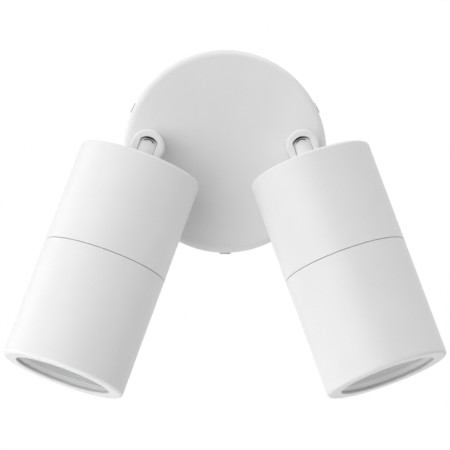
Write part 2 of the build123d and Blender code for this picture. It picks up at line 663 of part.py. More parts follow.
def holder_bracket():
    """Bent strap from the bosses to the lampholder: two feet, two legs and a web with a lead hole."""
    body = block(2 * STRAP_LEG_X, STRAP_W, STRAP_WEB, HOLDER_BACK)
    for side in SIDES.values():
        leg_x = side * (STRAP_LEG_X - STRAP_T / 2)
        foot_x = side * (STRAP_LEG_X + STRAP_FOOT / 2 - STRAP_T / 2)
        body += block(STRAP_T, STRAP_W, FOOT_SEAT, HOLDER_BACK, x=leg_x)
        body += block(STRAP_FOOT + STRAP_T, STRAP_W, FOOT_SEAT, FOOT_SEAT + STRAP_T, x=foot_x)
        body -= disc(SMALL_SCREW_R + RUNNING, FOOT_SEAT, FOOT_SEAT + STRAP_T, side * BOSS_X)
        body -= disc(SMALL_SCREW_R + RUNNING, STRAP_WEB, HOLDER_BACK, side * HOLDER_SCREW_X)
    return body - disc(LEAD_R + LOOSE, STRAP_WEB, HOLDER_BACK)


def bracket_screw(side):
    """Screw through the strap's foot into a boss."""
    screw = pan_screw(SMALL_HEAD_R, SMALL_HEAD, SMALL_SCREW_R, SMALL_LENGTH)
    return Pos(side * BOSS_X, 0, FOOT_SEAT + STRAP_T) * screw


def lampholder():
    """Ceramic lampholder: two pin pockets in its face and two recessed screw holes."""
    body = disc(HOLDER_R, HOLDER_BACK, LAMP_BASE)
    body = fillet(rims(body, HOLDER_R, HOLDER_BACK), HOLDER_EDGE)
    for side in SIDES.values():
        body -= disc(PIN_R + LOOSE, LAMP_BASE - PIN_LENGTH - LOOSE, LAMP_BASE, y=side * PIN_SPREAD)
        body -= disc(SMALL_SCREW_R + LOOSE, HOLDER_BACK, LAMP_BASE, side * HOLDER_SCREW_X)
        body -= disc(SMALL_HEAD_R + LOOSE, LAMP_BASE - 2 * SMALL_HEAD, LAMP_BASE, side * HOLDER_SCREW_X)
    return body


def holder_screw(side):
    """Screw through the lampholder into the strap's web."""
    seat = LAMP_BASE - 2 * SMALL_HEAD
    screw = pan_screw(SMALL_HEAD_R, SMALL_HEAD, SMALL_SCREW_R, seat - STRAP_WEB)
    return Pos(side * HOLDER_SCREW_X, 0, seat) * screw


def lamp_body():
    """Reflector lamp: twist-lock pins, straight neck, flared body and a rim round the lens."""
    seat = LAMP_FRONT - LENS_PROUD
    rim = LAMP_FRONT - LAMP_RIM
    neck = LAMP_BASE + LAMP_NECK
    flare = ThreePointArc(
        (LAMP_NECK_R, 0, neck),
        (LAMP_NECK_R + (LAMP_R - LAMP_NECK_R) * LAMP_FLARE, 0, neck + (rim - neck) * 0.5),
        (LAMP_R, 0, rim),
    )
    sides = Polyline(
        (LAMP_R, 0, rim),
        (LAMP_R, 0, seat),
        (0, 0, seat),
        (0, 0, LAMP_BASE),
        (LAMP_NECK_R, 0, LAMP_BASE),
        (LAMP_NECK_R, 0, neck),
    )
    body = revolve(make_face(flare + sides), Axis.Z)
    for side in SIDES.values():
        y = side * PIN_SPREAD
        body += disc(PIN_NECK_R, LAMP_BASE - PIN_LENGTH, LAMP_BASE, y=y)
        body += disc(PIN_R, LAMP_BASE - PIN_LENGTH, LAMP_BASE - PIN_LENGTH + PIN_HEAD, y=y)
    return body


def lamp_lens():
    """Clear lens on the lamp's face, rounded at its edge."""
    lens = disc(LENS_R, LAMP_FRONT - LENS_PROUD, LAMP_FRONT)
    return fillet(rims(lens, LENS_R, LAMP_FRONT), LENS_EDGE)


# ---- write one file for each node ------------------------------------------------------------------------
def save(node, frame, *solids):
    """Place a node's solids and write them, as one solid or as a group of separate ones."""
    placed = [frame * solid for solid in solids]
    export_step(placed[0] if len(placed) == 1 else Compound(children=placed), f"parts/{node}.step")


def save_base():
    """The nodes that stay on the wall."""
    ends = [(pole, end) for pole in (-1, 0, 1) for end in (-1, 1)]
    save("backplate", WALL_FRAME, backplate())
    save("wall_gasket", WALL_FRAME, wall_gasket())
    save("side_screws", WALL_FRAME, *[side_screw(angle) for angle in SIDE_SCREW_ANGLES])
    save("wall_bracket", WALL_FRAME, wall_bracket())
    save("cable_grommet", WALL_FRAME, cable_grommet())
    save("terminal_block", WALL_FRAME, terminal_block())
    save("clamp_screws", WALL_FRAME, *[clamp_screw(pole, end) for pole, end in ends])
    save("block_screws", WALL_FRAME, *[block_screw(side) for side in SIDES.values()])
    save("earth_screw", WALL_FRAME, earth_screw())
    save("swivel_bushes", WALL_FRAME, *[swivel_bush(side) for side in SIDES.values()])
    save("canopy_leads", WALL_FRAME, *[canopy_lead(side) for side in SIDES.values()])


def save_post(name, frame):
    """The nodes that swivel with one post."""
    save(f"{name}_post", frame, post())
    save(f"{name}_neck_ring", frame, neck_ring())
    save(f"{name}_stop_washer", frame, stop_washer())
    save(f"{name}_swivel_spring", frame, disc_spring(SWIVEL_SPRING_R, NECK_R + RUNNING, SPRING_LOW, STOP_LOW))
    save(f"{name}_neck_nut", frame, hex_nut(NECK_NUT_FLATS, NECK_R + RUNNING, NUT_LOW, SPRING_LOW))
    save(f"{name}_ball_cup", frame, ball_cup())
    save(f"{name}_cup_spring", frame, disc_spring(CUP_SPRING_R, CUP_SPRING_BORE, -KNUCKLE_FLOOR, -CUP_BASE))
    save(f"{name}_pivot_screws", frame, *[pivot_screw(side) for side in SIDES.values()])


def save_head(name, frame):
    """The nodes that tilt with one head, and the front that comes off it."""
    save(f"{name}_stem", frame, stem())
    save(f"{name}_stem_washer", frame, ring(TAIL_WASHER_R, TAIL_R + RUNNING, BACK_IN, TAIL_NUT_LOW))
    nut_top = TAIL_NUT_LOW + TAIL_NUT
    save(f"{name}_stem_nut", frame, hex_nut(TAIL_NUT_FLATS, TAIL_R + RUNNING, TAIL_NUT_LOW, nut_top))
    save(f"{name}_rear_shell", frame, rear_shell())
    save(f"{name}_seam_ring", frame, seam_ring())
    save(f"{name}_holder_bracket", frame, holder_bracket())
    save(f"{name}_bracket_screws", frame, *[bracket_screw(side) for side in SIDES.values()])
    save(f"{name}_lampholder", frame, lampholder())
    save(f"{name}_holder_screws", frame, *[holder_screw(side) for side in SIDES.values()])
    save(f"{name}_lamp_body", frame, lamp_body())
    save(f"{name}_lamp_lens", frame, lamp_lens())
    save(f"{name}_head_lead", frame, disc(LEAD_R, TAIL_END - LEAD_ENTRY, HOLDER_BACK))
    save(f"{name}_front_shell", frame, front_shell())
    save(f"{name}_front_glass", frame, disc(GLASS_R, GLASS_IN, GLASS_OUT))
    save(f"{name}_glass_gasket", frame, ring(GLASS_R, APERTURE_R, GLASS_OUT, LIP_IN))
    save(f"{name}_glass_clip", frame, glass_clip())


os.makedirs("parts", exist_ok=True)
save_base()
for name, side in SIDES.items():
    save_post(name, post_frame(side))
    save_head(name, head_frame(side))
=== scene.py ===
import json
import math

import bpy
import numpy as np
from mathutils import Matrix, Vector


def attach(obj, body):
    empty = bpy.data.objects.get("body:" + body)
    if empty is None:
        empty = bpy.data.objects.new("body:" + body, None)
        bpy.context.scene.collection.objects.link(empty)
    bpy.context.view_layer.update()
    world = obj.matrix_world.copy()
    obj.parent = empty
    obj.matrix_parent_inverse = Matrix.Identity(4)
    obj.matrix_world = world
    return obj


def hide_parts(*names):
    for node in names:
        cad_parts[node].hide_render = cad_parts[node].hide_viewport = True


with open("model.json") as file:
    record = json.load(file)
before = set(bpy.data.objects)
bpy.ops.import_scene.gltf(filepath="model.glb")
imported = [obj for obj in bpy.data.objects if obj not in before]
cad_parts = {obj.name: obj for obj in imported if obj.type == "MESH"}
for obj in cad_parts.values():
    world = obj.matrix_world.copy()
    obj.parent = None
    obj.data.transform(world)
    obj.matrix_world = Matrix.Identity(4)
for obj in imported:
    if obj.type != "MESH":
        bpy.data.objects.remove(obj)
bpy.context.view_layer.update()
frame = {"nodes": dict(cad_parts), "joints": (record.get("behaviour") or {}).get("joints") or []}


# Wall bracket: a disc of zinc-plated steel sheet with three bent tabs. Two slotted holes take the wall
# screws, and the side screws of the backplate bite into the tapped holes of the tabs.
class Signal:
    """What one shader node hands to the next; an expression on signals and numbers adds Math nodes."""

    def __init__(self, tree, socket):
        self.tree, self.socket = tree, socket

    def math(self, operation, first, second):
        """A Math node on two values."""
        return add_node(self.tree, "ShaderNodeMath", {"operation": operation}, {0: first, 1: second})

    def maximum(self, other):
        """The larger of the two at each point."""
        return self.math("MAXIMUM", self, other)

    def __add__(self, other):
        return self.math("ADD", self, other)

    def __sub__(self, other):
        return self.math("SUBTRACT", self, other)

    def __mul__(self, other):
        return self.math("MULTIPLY", self, other)

    def __pow__(self, other):
        return self.math("POWER", self, other)

    def __rsub__(self, other):
        return self.math("SUBTRACT", other, self)

    __radd__ = __add__
    __rmul__ = __mul__


def feed(tree, socket, value):
    """Link a signal to a socket, or set its own value; a colour of three numbers gets a full alpha."""
    if isinstance(value, Signal):
        tree.links.new(value.socket, socket)
    elif socket.type == "RGBA" and len(value) == 3:
        socket.default_value = (*value, 1.0)
    else:
        socket.default_value = value


def add_node(tree, kind, settings=(), sockets=(), take=0):
    """Add a node of this type: its settings first, then its sockets' values or links; hand on one output."""
    made = tree.nodes.new(kind)
    for name, value in dict(settings).items():
        setattr(made, name, value)
    for name, value in dict(sockets).items():
        feed(tree, made.inputs[name], value)
    return Signal(tree, made.outputs[take])


# Where a colour mix has its share, its two colours and its result.
MIX_SHARE, MIX_LOW, MIX_HIGH, MIX_RESULT = 0, 6, 7, 2


def mix_colours(tree, share, low, high):
    """The colour low where share is 0, high where it is 1, and even steps between."""
    sockets = {MIX_SHARE: share, MIX_LOW: low, MIX_HIGH: high}
    return add_node(tree, "ShaderNodeMix", {"data_type": "RGBA"}, sockets, MIX_RESULT)


class Finish:
    """One material: the nodes of its pattern, and the Principled shader that they feed."""

    def __init__(self, name):
        self.material = bpy.data.materials.new(name)
        self.material.use_nodes = True
        self.tree = self.material.node_tree
        self.shader = self.tree.nodes["Principled BSDF"]
        self.place = self.node("ShaderNodeTexCoord", take="Object")

    def node(self, kind, settings=(), sockets=(), take=0):
        """Add a node to this material."""
        return add_node(self.tree, kind, settings, sockets, take)

    def noise(self, size, detail=2.0, stretch=(1.0, 1.0, 1.0)):
        """Cloudy noise from 0 to 1 with blobs of about this size, in metres, drawn out along an axis."""
        spread = tuple(1.0 / part for part in stretch)
        place = self.node("ShaderNodeMapping", sockets={"Vector": self.place, "Scale": spread})
        sockets = {"Vector": place, "Scale": 1.0 / size, "Detail": detail}
        return self.node("ShaderNodeTexNoise", sockets=sockets)

    def colour(self, share, low, high):
        """A colour between these two, by the share of the second."""
        return mix_colours(self.tree, share, low, high)

    def steps(self, value, low, high):
        """A soft step: 0 below low, 1 above high."""
        sockets = {"Value": value, "From Min": low, "From Max": high}
        return self.node("ShaderNodeMapRange", {"interpolation_type": "SMOOTHSTEP"}, sockets)

    def relief(self, height, depth):
        """Bend the surface by a height signal whose 0 to 1 is this depth, in metres."""
        bump = self.node("ShaderNodeBump", sockets={"Height": height, "Distance": depth, "Strength": 1.0})
        feed(self.tree, self.shader.inputs["Normal"], bump)

    def set(self, **values):
        """Feed sockets of the Principled shader; a name of several words is written with underscores."""
        for name, value in values.items():
            socket = name.replace("_", " ").title().replace("Ior", "IOR")
            feed(self.tree, self.shader.inputs[socket], value)


def dress(finish, *nodes):
    """Give CAD nodes this finish."""
    for name in nodes:
        for slot in frame["nodes"][name].material_slots:
            slot.material = finish.material


def plated(name, dark, light, rough, scratch):
    """Plated or rolled metal: cloudy lustre, fine rubbing marks drawn out along x, and a faint grain."""
    finish = Finish(name)
    cloud = finish.noise(size=0.006, detail=3.0)
    marks = finish.noise(size=0.00035, stretch=(14.0, 1.0, 1.0))
    grain = finish.noise(size=0.00018, detail=1.0)
    tone = cloud * 0.6 + marks * 0.4
    finish.set(base_color=finish.colour(tone, dark, light), metallic=1.0)
    finish.set(roughness=rough + cloud * 0.12 + marks * 0.1)
    finish.relief(marks * 0.7 + grain * 0.3, depth=scratch)
    return finish


zinc_sheet = plated(
    "zinc_plated_sheet", dark=(0.46, 0.47, 0.49), light=(0.66, 0.67, 0.69), rough=0.28, scratch=0.000012
)
dress(zinc_sheet, "wall_bracket")


# Cable grommet: black rubber, pressed into the bracket's middle, with a tapered nose that grips the sleeve
# of the supply cable. The same rubber makes the O-rings.
black_rubber = Finish("black_rubber")
bloom = black_rubber.noise(size=0.004, detail=4.0)
pores = black_rubber.noise(size=0.0002)
black_rubber.set(base_color=black_rubber.colour(bloom, low=(0.018, 0.018, 0.018), high=(0.04, 0.04, 0.041)))
black_rubber.set(roughness=0.52 + bloom * 0.16, specular_ior_level=0.4)
black_rubber.relief(pores * 0.8 + bloom * 0.2, depth=0.00002)
dress(black_rubber, "cable_grommet")


# Terminal block: moulded polyamide with three poles, screwed to the bracket. Its slotted clamping screws
# and the pan-head screws that hold it are zinc plated.
block_plastic = Finish("block_polyamide")
flow = block_plastic.noise(size=0.005, detail=3.0, stretch=(1.0, 1.0, 3.0))
mould_grain = block_plastic.noise(size=0.00022)
block_plastic.set(base_color=block_plastic.colour(flow, low=(0.74, 0.73, 0.68), high=(0.82, 0.81, 0.76)))
block_plastic.set(roughness=0.42 + mould_grain * 0.2, subsurface_weight=0.12, subsurface_scale=0.002)
block_plastic.relief(mould_grain, depth=0.00002)
dress(block_plastic, "terminal_block")

zinc_screw = plated(
    "zinc_plated_screw", dark=(0.3, 0.3, 0.31), light=(0.5, 0.5, 0.51), rough=0.34, scratch=0.00001
)
dress(zinc_screw, "clamp_screws", "block_screws")


# Earth screw: turned brass with a captive saddle washer. It stands in the bare metal of the bracket and
# clamps the earth wire of the supply cable.
brass = plated("turned_brass", dark=(0.58, 0.42, 0.17), light=(0.78, 0.6, 0.28), rough=0.24, scratch=0.00001)
dress(brass, "earth_screw")


# Sleeved leads: wires in a braided glass sleeve, one pair in the backplate and one lead in each head. The
# braid is two sets of thin strands that cross each other.
STRAND_WIDTH, STRAND_SLANT, STRAND_WAVER, BANDS_A_STRAND = 0.0009, 0.9, 0.4, 0.32
braid_sleeve = Finish("braided_glass_sleeve")
strands = []
for slant in (STRAND_SLANT, -STRAND_SLANT):
    turn = {"Vector": braid_sleeve.place, "Rotation": (slant, slant, slant)}
    laid = braid_sleeve.node("ShaderNodeMapping", sockets=turn)
    wave = {"Vector": laid, "Scale": BANDS_A_STRAND / STRAND_WIDTH, "Distortion": STRAND_WAVER}
    strands.append(braid_sleeve.node("ShaderNodeTexWave", {"bands_direction": "DIAGONAL"}, wave))
braid = strands[0].maximum(strands[1])
braid_sleeve.set(base_color=braid_sleeve.colour(braid, low=(0.5, 0.49, 0.45), high=(0.82, 0.81, 0.77)))
braid_sleeve.set(roughness=0.9 - braid * 0.15)
braid_sleeve.relief(braid, depth=0.00012)
dress(braid_sleeve, "canopy_leads", "left_head_lead", "right_head_lead")


# Wall gasket: a flat ring of white closed-cell foam, cut from sheet. The rim of the backplate presses it
# against the wall.
CELLS_A_METRE = 2600.0
foam = Finish("white_foam")
cells = foam.node("ShaderNodeTexVoronoi", sockets={"Vector": foam.place, "Scale": CELLS_A_METRE})
foam_cloud = foam.noise(size=0.003)
foam.set(base_color=foam.colour(foam_cloud, low=(0.66, 0.66, 0.65), high=(0.76, 0.76, 0.75)))
foam.set(roughness=0.88 + foam_cloud * 0.1)
foam.relief(1.0 - cells, depth=0.00008)
dress(foam, "wall_gasket")


# Backplate: a round spun cup of aluminium with a rounded front edge, powder coated satin white like the
# posts, stems and heads. The coat is a little uneven, with orange peel, fine grain and thinner clouds.
PAINT_LOW, PAINT_HIGH = (0.8, 0.8, 0.8), (0.86, 0.86, 0.86)


def powder_coat(name, rough, peel_depth):
    """Baked white powder: clouds of thickness, orange peel about 1 mm across, and a grain of fine specks."""
    finish = Finish(name)
    cloud = finish.noise(size=0.018, detail=3.0)
    peel = finish.noise(size=0.0011, detail=1.0)
    grain = finish.noise(size=0.00016)
    speck = finish.steps(finish.noise(size=0.0009, detail=0.0), low=0.74, high=0.8)
    tone = cloud * 0.75 + grain * 0.35 - speck * 0.5
    finish.coat = finish.colour(tone, PAINT_LOW, PAINT_HIGH)
    finish.set(base_color=finish.coat, roughness=rough + cloud * 0.08 + grain * 0.1)
    finish.relief(peel * 0.85 + grain * 0.15, depth=peel_depth)
    return finish


plate_paint = powder_coat("white_powder_coat", rough=0.36, peel_depth=0.00001)
dress(plate_paint, "backplate")


# Side screws: three low coned heads with a cross recess, of zinc-plated steel. They sit on small flats
# round the rim and hold the backplate to the tabs of the bracket.
side_zinc = plated(
    "side_screw_zinc", dark=(0.26, 0.26, 0.27), light=(0.44, 0.44, 0.45), rough=0.36, scratch=0.00001
)
dress(side_zinc, "side_screws")


# Swivel bushes: flanged bushes of moulded white nylon, set into the two holes in the backplate's face. The
# necks of the posts turn in them.
nylon = Finish("white_nylon")
nylon_cloud = nylon.noise(size=0.003, detail=3.0)
nylon_grain = nylon.noise(size=0.00025)
nylon.set(base_color=nylon.colour(nylon_cloud, low=(0.78, 0.78, 0.75), high=(0.85, 0.85, 0.82)))
nylon.set(roughness=0.4 + nylon_grain * 0.2, subsurface_weight=0.15, subsurface_scale=0.0015)
nylon.relief(nylon_grain, depth=0.000015)
dress(nylon, "swivel_bushes")


# Posts: hollow posts of die-cast aluminium, each with a slotted knuckle at its end for the stem and a
# threaded neck that goes through the bush. They wear the same white coat as the backplate.
SIDES = ("left", "right")
for side in SIDES:
    dress(plate_paint, f"{side}_post")


# Neck pieces and friction cups: behind the backplate's face each neck carries an O-ring, a keyed stop washer,
# a disc spring and a brass nut. In the knuckle a small disc spring presses a cup of black acetal against the
# stem's round end.
spring_steel = plated(
    "spring_steel", dark=(0.3, 0.31, 0.33), light=(0.46, 0.47, 0.5), rough=0.2, scratch=0.000008
)
acetal = Finish("black_acetal")
turning = acetal.noise(size=0.0003)
acetal_cloud = acetal.noise(size=0.002, detail=3.0)
acetal.set(base_color=acetal.colour(acetal_cloud, low=(0.02, 0.02, 0.02), high=(0.04, 0.04, 0.042)))
acetal.set(roughness=0.38 + turning * 0.2)
acetal.relief(turning, depth=0.00001)
for side in SIDES:
    dress(black_rubber, f"{side}_neck_ring")
    dress(zinc_sheet, f"{side}_stop_washer")
    dress(spring_steel, f"{side}_swivel_spring", f"{side}_cup_spring")
    dress(brass, f"{side}_neck_nut")
    dress(acetal, f"{side}_ball_cup")


# Pivot screws: headless screws of zinc-plated steel in tapped holes through the knuckle's walls. Their thin
# tips reach into the sockets of the stem, and the head tilts about them.
for side in SIDES:
    dress(zinc_screw, f"{side}_pivot_screws")


# Stems: steel bar with crowned faces and a round end, coated white. The crescent cut in that end is painted
# dark: painted shade in the cut. A threaded tail goes through the back of the head, and a washer and a nut
# hold it inside.
def head_frame(side):
    """The head's three axes as rows, and the middle of its pivot.

    The third runs the way the front slides off, the first along the pivot screws, and the second is the
    third cross the first, out of the stem's crowned face.
    """
    joints = {joint["name"]: joint for joint in frame["joints"]}
    tilt = joints[f"{side}_tilt"]
    along = np.array(joints[f"{side}_front_off"]["axis"])
    across = -np.array(tilt["axis"])
    return np.array([across, np.cross(along, across), along]), np.array(tilt["pos_m"])


def measured(finish, operation, first, second=(0.0, 0.0, 0.0), take="Value"):
    """Vector Math on two places or directions."""
    return finish.node("ShaderNodeVectorMath", {"operation": operation}, {0: first, 1: second}, take)


# The crescent's painted shade, in metres: its inner and outer radius, how far behind the pivot it ends, how
# far out from the bar's middle it fades in, and the width of its soft edge.
CRESCENT_IN, CRESCENT_OUT = 0.00244, 0.00296
CRESCENT_END, CRESCENT_FADE, CRESCENT_EDGE = 0.0015, 0.0015, 0.00003
# The dark colour of the crescent's painted shade.
CREASE_SHADE_COLOUR = (0.1, 0.1, 0.1)
for side in SIDES:
    stem_paint = powder_coat(f"{side}_stem_coat_and_crease_shade", rough=0.34, peel_depth=0.000008)
    (_, outward, along), pivot = head_frame(side)
    reach = measured(stem_paint, "SUBTRACT", stem_paint.place, pivot.tolist(), take="Vector")
    swung = measured(stem_paint, "CROSS_PRODUCT", reach, outward.tolist(), take="Vector")
    radius = measured(stem_paint, "LENGTH", swung)
    height = measured(stem_paint, "DOT_PRODUCT", reach, outward.tolist())
    onward = measured(stem_paint, "DOT_PRODUCT", reach, along.tolist())
    # Painted shade: the crescent of the cut in the round end is darkened in the colour.
    crease_shade = stem_paint.steps(radius, CRESCENT_IN - CRESCENT_EDGE, CRESCENT_IN)
    crease_shade = crease_shade * (1.0 - stem_paint.steps(radius, CRESCENT_OUT, CRESCENT_OUT + CRESCENT_EDGE))
    crease_shade = crease_shade * (1.0 - stem_paint.steps(onward, -CRESCENT_END, -CRESCENT_END + CRESCENT_EDGE))
    crease_shade = crease_shade * stem_paint.steps(height, 0.0, CRESCENT_FADE)
    stem_paint.set(base_color=stem_paint.colour(crease_shade, stem_paint.coat, CREASE_SHADE_COLOUR))
    dress(stem_paint, f"{side}_stem")
    dress(zinc_screw, f"{side}_stem_washer", f"{side}_stem_nut")


# Rear shells: deep-drawn aluminium cups with a rounded back edge, coated white. A spigot with an O-ring
# groove takes the front shell, and two bosses inside carry the lampholder's strap.
ARC_STEPS = 7


def rounded_outline(corners):
    """Points and outward normals of a closed outline, given anticlockwise as (radius, height, rounding).

    Every corner gives way to an arc tangent to both sides. The outward normal of a side is its direction
    turned a quarter clockwise; over a corner the normal swings evenly from one side's to the next's. The
    arc's centre lies on the bisector, rounding / sin(half the corner's angle) from the corner, and a point
    is the centre plus rounding times the normal, or minus it where the corner points inward.
    """
    corners = np.array(corners, float)
    place, rounding = corners[:, :2], corners[:, 2:]
    back, on = np.roll(place, 1, 0) - place, np.roll(place, -1, 0) - place
    back /= np.linalg.norm(back, axis=1, keepdims=True)
    on /= np.linalg.norm(on, axis=1, keepdims=True)
    first = np.column_stack([-back[:, 1], back[:, 0]])
    last = np.column_stack([on[:, 1], -on[:, 0]])
    turn = np.arctan2(first[:, 0] * last[:, 1] - first[:, 1] * last[:, 0], (first * last).sum(1))[:, None]
    bisector = (back + on) / np.linalg.norm(back + on, axis=1, keepdims=True)
    centre = place + bisector * rounding / np.cos(turn / 2)
    angle = np.arctan2(first[:, 1], first[:, 0])[:, None] + turn * np.linspace(0, 1, ARC_STEPS + 1)
    normal = np.stack([np.cos(angle), np.sin(angle)], -1)
    point = centre[:, None] + (np.sign(turn) * rounding)[:, :, None] * normal
    return point.reshape(-1, 2), normal.reshape(-1, 2)


def grid_faces(around, count, solid):
    """Faces of a grid of points whose columns, count points each, go round the z axis and meet again.

    A column's last point joins its first. For a solid shape they stay apart, and a fan of triangles joins
    each end of the columns to a pole: the two points after the grid, the low one first.
    """
    column = np.arange(around)[:, None] * count
    beside = np.roll(column, -1, 0)
    along = np.arange(count - 1 if solid else count)
    onward = (along + 1) % count
    quads = np.stack([column + along, beside + along, beside + onward, column + onward], -1).reshape(-1, 4)
    if not solid:
        return [quads]
    column, beside, pole = column[:, 0], beside[:, 0], np.full(around, around * count)
    low = np.stack([pole, beside, column], -1)
    high = np.stack([pole + 1, column + count - 1, beside + count - 1], -1)
    return [quads, low, high]


def spun(outline, around=240, solid=False):
    """An outline swept about z: at angle a, (radius, height) goes to (radius cos a, radius sin a, height).

    The outline closes on itself. For a solid shape it runs from the lower face to the upper face instead,
    and the middles of these two faces are the poles.
    """
    angle = np.linspace(0, 2 * np.pi, around, endpoint=False)[:, None]

    def sweep(flat):
        radius, height = flat[:, 0], np.broadcast_to(flat[:, 1], (around, len(flat)))
        return np.stack([radius * np.cos(angle), radius * np.sin(angle), height], -1).reshape(-1, 3)

    point, normal = outline
    vertex, direction = sweep(point), sweep(normal)
    if solid:
        vertex = np.vstack([vertex, [[0, 0, point[0, 1]], [0, 0, point[-1, 1]]]])
        direction = np.vstack([direction, [[0, 0, -1], [0, 0, 1]]])
    return vertex, direction, grid_faces(around, len(point), solid)


def moved(part, x=0.0, y=0.0):
    """The same surface, set off from the axis."""
    vertex, direction, faces = part
    return vertex + (x, y, 0.0), direction, faces


def joined(*parts):
    """Several closed surfaces as one: their points follow each other, and the faces count on."""
    vertices, directions, faces = zip(*parts)
    starts = np.cumsum([0] + [len(vertex) for vertex in vertices])
    counted_on = [block + start for start, blocks in zip(starts, faces) for block in blocks]
    return np.vstack(vertices), np.vstack(directions), counted_on


def add_object(name, data):
    """Put this mesh, lamp or camera into the scene as an object at the origin."""
    thing = bpy.data.objects.new(name, data)
    bpy.context.scene.collection.objects.link(thing)
    return thing


# The heads' sizes are in millimetres: radii from the head's axis, and heights along it from the pivot.
MM = 0.001


def head_piece(name, side, body, part, finish, slot, *nodes):
    """Make a head's surface into a piece that rides on its body and stands for CAD nodes."""
    vertex, direction, faces = part
    axes, origin = head_frame(side)
    mesh = bpy.data.meshes.new(name)
    flat_faces = [face for block in faces for face in block.tolist()]
    mesh.from_pydata((vertex * MM @ axes + origin).tolist(), [], flat_faces)
    mesh.polygons.foreach_set("use_smooth", np.ones(len(flat_faces), bool))
    if direction is not None:
        mesh.normals_split_custom_set_from_vertices((direction @ axes).tolist())
    mesh.materials.append(finish.material)
    piece = add_object(name, mesh)
    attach(piece, f"{side}_{body}")
    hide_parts(*nodes)
    return piece


SHELL_R, SHELL_BORE = 30.25, 27.75
BACK, BACK_IN, REAR_END = 9.8, 12.8, 60.3
SPIGOT_R, SPIGOT_BORE, SPIGOT_ROOT, SPIGOT_END = 28.15, 26.05, 54.3, 67.3
RING_GROOVE_R, RING_GROOVE_LOW, RING_GROOVE_HIGH = 26.8, 62.455, 64.145
TAIL_HOLE_R = 3.0
BOSS_R, BOSS_X, BOSS_TOP, BOSS_BORE, BOSS_SUNK = 3.5, 18.5, 16.8, 1.5, 0.4
SMALL_AROUND = 48

rear_outline = rounded_outline([
    (TAIL_HOLE_R, BACK, 0.2),
    (SHELL_R, BACK, 1.5),
    (SHELL_R, REAR_END, 0.15),
    (SPIGOT_R, REAR_END, 0.15),
    (SPIGOT_R, RING_GROOVE_LOW, 0.12),
    (RING_GROOVE_R, RING_GROOVE_LOW, 0.12),
    (RING_GROOVE_R, RING_GROOVE_HIGH, 0.12),
    (SPIGOT_R, RING_GROOVE_HIGH, 0.12),
    (SPIGOT_R, SPIGOT_END, 0.4),
    (SPIGOT_BORE, SPIGOT_END, 0.3),
    (SPIGOT_BORE, SPIGOT_ROOT, 0.3),
    (SHELL_BORE, SPIGOT_ROOT, 0.3),
    (SHELL_BORE, BACK_IN, 1.2),
    (TAIL_HOLE_R, BACK_IN, 0.2),
])
boss_outline = rounded_outline([
    (BOSS_BORE, BACK_IN - BOSS_SUNK, 0.1),
    (BOSS_R, BACK_IN - BOSS_SUNK, 0.1),
    (BOSS_R, BOSS_TOP, 0.3),
    (BOSS_BORE, BOSS_TOP, 0.2),
])
boss = spun(boss_outline, SMALL_AROUND)
back_shell = joined(spun(rear_outline), moved(boss, x=BOSS_X), moved(boss, x=-BOSS_X))
head_paint = powder_coat("head_powder_coat", rough=0.34, peel_depth=0.00001)
for side in SIDES:
    node = f"{side}_rear_shell"
    head_piece(f"{side}_back_shell", side, "head", back_shell, head_paint, "white_paint", node)
    dress(black_rubber, f"{side}_seam_ring")


# Lampholder: a glazed ceramic body with two pin pockets, on a bent steel strap that is screwed to the
# bosses of the rear shell.
ceramic = Finish("glazed_ceramic")
glaze = ceramic.noise(size=0.004, detail=3.0)
grit = ceramic.steps(ceramic.noise(size=0.0006, detail=1.0), low=0.66, high=0.72)
ceramic.set(base_color=ceramic.colour(glaze - grit * 0.6, low=(0.7, 0.68, 0.62), high=(0.84, 0.82, 0.77)))
ceramic.set(roughness=0.22 + glaze * 0.2, coat_weight=0.3, coat_roughness=0.15)
ceramic.relief(glaze * 0.4 + ceramic.noise(size=0.0004) * 0.6, depth=0.00002)
for side in SIDES:
    dress(zinc_sheet, f"{side}_holder_bracket")
    dress(zinc_screw, f"{side}_bracket_screws", f"{side}_holder_screws")
    dress(ceramic, f"{side}_lampholder")


# Lamp body: moulded white thermoplastic with cooling ribs down its flare, a straight rim round the lens,
# and two contact pins with heads that twist into the lampholder.
LAMP_R, LAMP_NECK_R = 25.0, 12.5
LAMP_BASE, LAMP_NECK_END, LAMP_RIM, LENS_SEAT, LAMP_FRONT = 63.1, 73.1, 108.1, 112.6, 113.1
BASE_EDGE, RIM_EDGE = 0.8, 0.4
FLARE_POWER, RIBS, RIB_DEPTH, RIB_POINTS = 0.69, 36, 1.1, 8


def ribbed_lamp(rows=49, edge_rows=6):
    """A flared solid of revolution with ribs down its flare.

    At share t of the way from neck to rim the flare's radius is the neck's plus the difference times
    t to the flare's power. At angle a a groove is taken off it: the ribs' depth, times half of
    (1 - cos(ribs times a)), times the square root of sin(pi t), which lets it run out at both ends.
    The base and the rim end in quarter arcs.
    """
    share = np.linspace(0, 1, rows)
    quarter = np.linspace(0, np.pi / 2, edge_rows)
    radius = np.concatenate([
        LAMP_NECK_R - BASE_EDGE + BASE_EDGE * np.sin(quarter),
        LAMP_NECK_R + (LAMP_R - LAMP_NECK_R) * share**FLARE_POWER,
        LAMP_R - RIM_EDGE + RIM_EDGE * np.cos(quarter),
    ])
    height = np.concatenate([
        LAMP_BASE + BASE_EDGE - BASE_EDGE * np.cos(quarter),
        LAMP_NECK_END + (LAMP_RIM - LAMP_NECK_END) * share,
        LENS_SEAT - RIM_EDGE + RIM_EDGE * np.sin(quarter),
    ])
    depth = np.zeros(len(radius))
    depth[edge_rows:-edge_rows] = RIB_DEPTH * np.sqrt(np.sin(np.pi * share).clip(0))
    angle = np.linspace(0, 2 * np.pi, RIB_POINTS * RIBS, endpoint=False)[:, None]
    reach = radius - depth * (1 - np.cos(RIBS * angle)) / 2
    grid = np.stack([reach * np.cos(angle), reach * np.sin(angle), np.broadcast_to(height, reach.shape)], -1)
    vertex = np.vstack([grid.reshape(-1, 3), [[0, 0, height[0]], [0, 0, height[-1]]]])
    return vertex, None, grid_faces(len(angle), len(radius), True)


